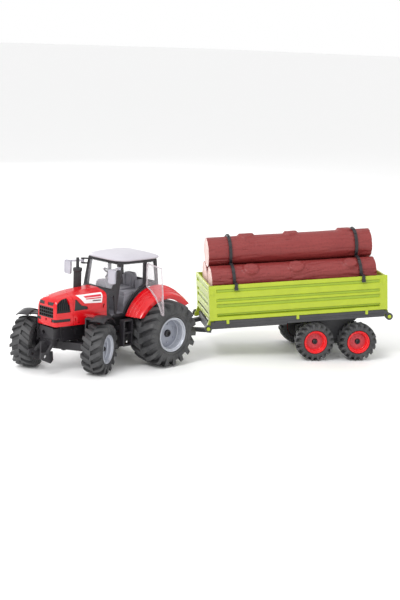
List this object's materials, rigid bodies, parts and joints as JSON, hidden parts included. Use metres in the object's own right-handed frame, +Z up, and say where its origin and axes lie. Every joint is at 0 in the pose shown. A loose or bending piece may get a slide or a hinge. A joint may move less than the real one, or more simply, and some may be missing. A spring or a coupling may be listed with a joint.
{
  "type": "toy tractor with tipping trailer",
  "caption": "Toy farm tractor with a glazed cab, opening doors and a steering front axle, coupled to a tipping tandem-axle trailer that carries a strapped bundle of logs.",
  "frame": {"origin": "middle of the whole toy's footprint on the ground, in its rest pose", "axes": "+Z up; the tractor drives towards -X and its left side is -Y; the trailer stands turned to the tractor's left"},
  "size_m": [0.4606, 0.2736, 0.1593],
  "materials": {
    "red_plastic": "glossy moulded",
    "lime_plastic": "satin moulded",
    "black_plastic": "satin moulded",
    "tyre_rubber": "dull moulded",
    "silver_plastic": "silver painted",
    "grey_plastic": "satin moulded",
    "roof_plastic": "satin moulded",
    "clear_plastic": "clear polished",
    "log_plastic": "bark-grained moulded",
    "steel": "plain drawn"
  },
  "bodies": {
    "tractor": {"chassis": "black_plastic", "front_carrier": "black_plastic", "front_linkage": "black_plastic", "hitch_bracket": "black_plastic", "hitch_pin": "black_plastic", "hood_nose": "red_plastic", "hood": "red_plastic", "grille": "black_plastic", "exhaust_muffler": "black_plastic", "exhaust_pipe": "black_plastic", "cab_frame": "black_plastic", "roof": "roof_plastic", "windscreen": "clear_plastic", "rear_window": "clear_plastic", "cab_interior": "grey_plastic", "steering_wheel": "black_plastic", "left_fender": "red_plastic", "right_fender": "red_plastic", "left_steps": "black_plastic", "right_steps": "black_plastic"},
    "rear_wheels": {"rear_axle": "steel", "rear_left_tyre": "tyre_rubber", "rear_left_rim": "silver_plastic", "rear_right_tyre": "tyre_rubber", "rear_right_rim": "silver_plastic"},
    "front_axle": {"front_axle": "black_plastic", "left_mudguard": "black_plastic", "right_mudguard": "black_plastic"},
    "front_left_wheel": {"front_left_tyre": "tyre_rubber", "front_left_rim": "silver_plastic"},
    "front_right_wheel": {"front_right_tyre": "tyre_rubber", "front_right_rim": "silver_plastic"},
    "left_door": {"left_door": "clear_plastic"},
    "right_door": {"right_door": "clear_plastic"},
    "left_mirror": {"left_mirror": "clear_plastic"},
    "right_mirror": {"right_mirror": "clear_plastic"},
    "trailer": {"trailer_chassis": "black_plastic", "bogie_bracket": "black_plastic", "drawbar": "black_plastic"},
    "bogie": {"bogie_beam": "black_plastic"},
    "trailer_front_wheels": {"trailer_front_axle": "steel", "trailer_front_left_tyre": "tyre_rubber", "trailer_front_left_rim": "red_plastic", "trailer_front_right_tyre": "tyre_rubber", "trailer_front_right_rim": "red_plastic"},
    "trailer_rear_wheels": {"trailer_rear_axle": "steel", "trailer_rear_left_tyre": "tyre_rubber", "trailer_rear_left_rim": "red_plastic", "trailer_rear_right_tyre": "tyre_rubber", "trailer_rear_right_rim": "red_plastic"},
    "bed": {"bed_floor": "lime_plastic", "bed_left_side": "lime_plastic", "bed_right_side": "lime_plastic", "bed_front_panel": "lime_plastic"},
    "tailgate": {"tailgate": "lime_plastic"},
    "log_load": {"left_log": "log_plastic", "right_log": "log_plastic", "top_log": "log_plastic", "front_strap": "black_plastic", "rear_strap": "black_plastic"}
  },
  "joints": [
    {"name": "rear_axle_turn", "type": "hinge", "parent": "tractor", "child": "rear_wheels", "pos_m": [-0.07256, 0.06627, 0.03933], "axis": [0, 1, 0], "continuous": true},
    {"name": "steering", "type": "hinge", "parent": "tractor", "child": "front_axle", "pos_m": [-0.18056, 0.06627, 0.02933], "axis": [0, 0, 1], "range_deg": [-56, 0]},
    {"name": "front_left_wheel_turn", "type": "hinge", "parent": "front_axle", "child": "front_left_wheel", "pos_m": [-0.1599, 0.02742, 0.02933], "axis": [-0.4695, 0.8829, 0], "continuous": true},
    {"name": "front_right_wheel_turn", "type": "hinge", "parent": "front_axle", "child": "front_right_wheel", "pos_m": [-0.20121, 0.10512, 0.02933], "axis": [-0.4695, 0.8829, 0], "continuous": true},
    {"name": "left_door_hinge", "type": "hinge", "parent": "tractor", "child": "left_door", "pos_m": [-0.08506, 0.03147, 0.095], "axis": [0, 0, 1], "range_deg": [-83, 0]},
    {"name": "right_door_hinge", "type": "hinge", "parent": "tractor", "child": "right_door", "pos_m": [-0.08506, 0.10107, 0.095], "axis": [0, 0, 1], "range_deg": [-83, 0]},
    {"name": "left_mirror_pin", "type": "hinge", "parent": "tractor", "child": "left_mirror", "pos_m": [-0.12756, 0.03327, 0.1183], "axis": [0, 0, 1], "range_deg": [-15, 60]},
    {"name": "right_mirror_pin", "type": "hinge", "parent": "tractor", "child": "right_mirror", "pos_m": [-0.12756, 0.09927, 0.1183], "axis": [0, 0, 1], "range_deg": [-60, 15]},
    {"name": "hitch_swivel", "type": "hinge", "parent": "tractor", "child": "trailer", "pos_m": [-0.02866, 0.06627, 0.03], "axis": [0, 0, 1], "range_deg": [-9.75, 80.25]},
    {"name": "bogie_rock", "type": "hinge", "parent": "trailer", "child": "bogie", "pos_m": [0.14414, -0.05586, 0.027], "axis": [0.5771, 0.8166, 0], "range_deg": [-2, 2]},
    {"name": "trailer_front_axle_turn", "type": "hinge", "parent": "bogie", "child": "trailer_front_wheels", "pos_m": [0.12201, -0.04022, 0.02336], "axis": [0.5771, 0.8166, 0], "continuous": true},
    {"name": "trailer_rear_axle_turn", "type": "hinge", "parent": "bogie", "child": "trailer_rear_wheels", "pos_m": [0.16628, -0.0715, 0.02336], "axis": [0.5771, 0.8166, 0], "continuous": true},
    {"name": "bed_tip", "type": "hinge", "parent": "trailer", "child": "bed", "pos_m": [0.19835, -0.09416, 0.05445], "axis": [0.5771, 0.8166, 0], "range_deg": [0, 45]},
    {"name": "tailgate_hinge", "type": "hinge", "parent": "bed", "child": "tailgate", "pos_m": [0.19285, -0.09028, 0.1041], "axis": [-0.5771, -0.8166, 0], "range_deg": [0, 75]},
    {"name": "log_load_lift", "type": "slide", "parent": "bed", "child": "log_load", "axis": [-0.057, 0.0403, 0.9976], "range_m": [0, 0.06]}
  ]
}
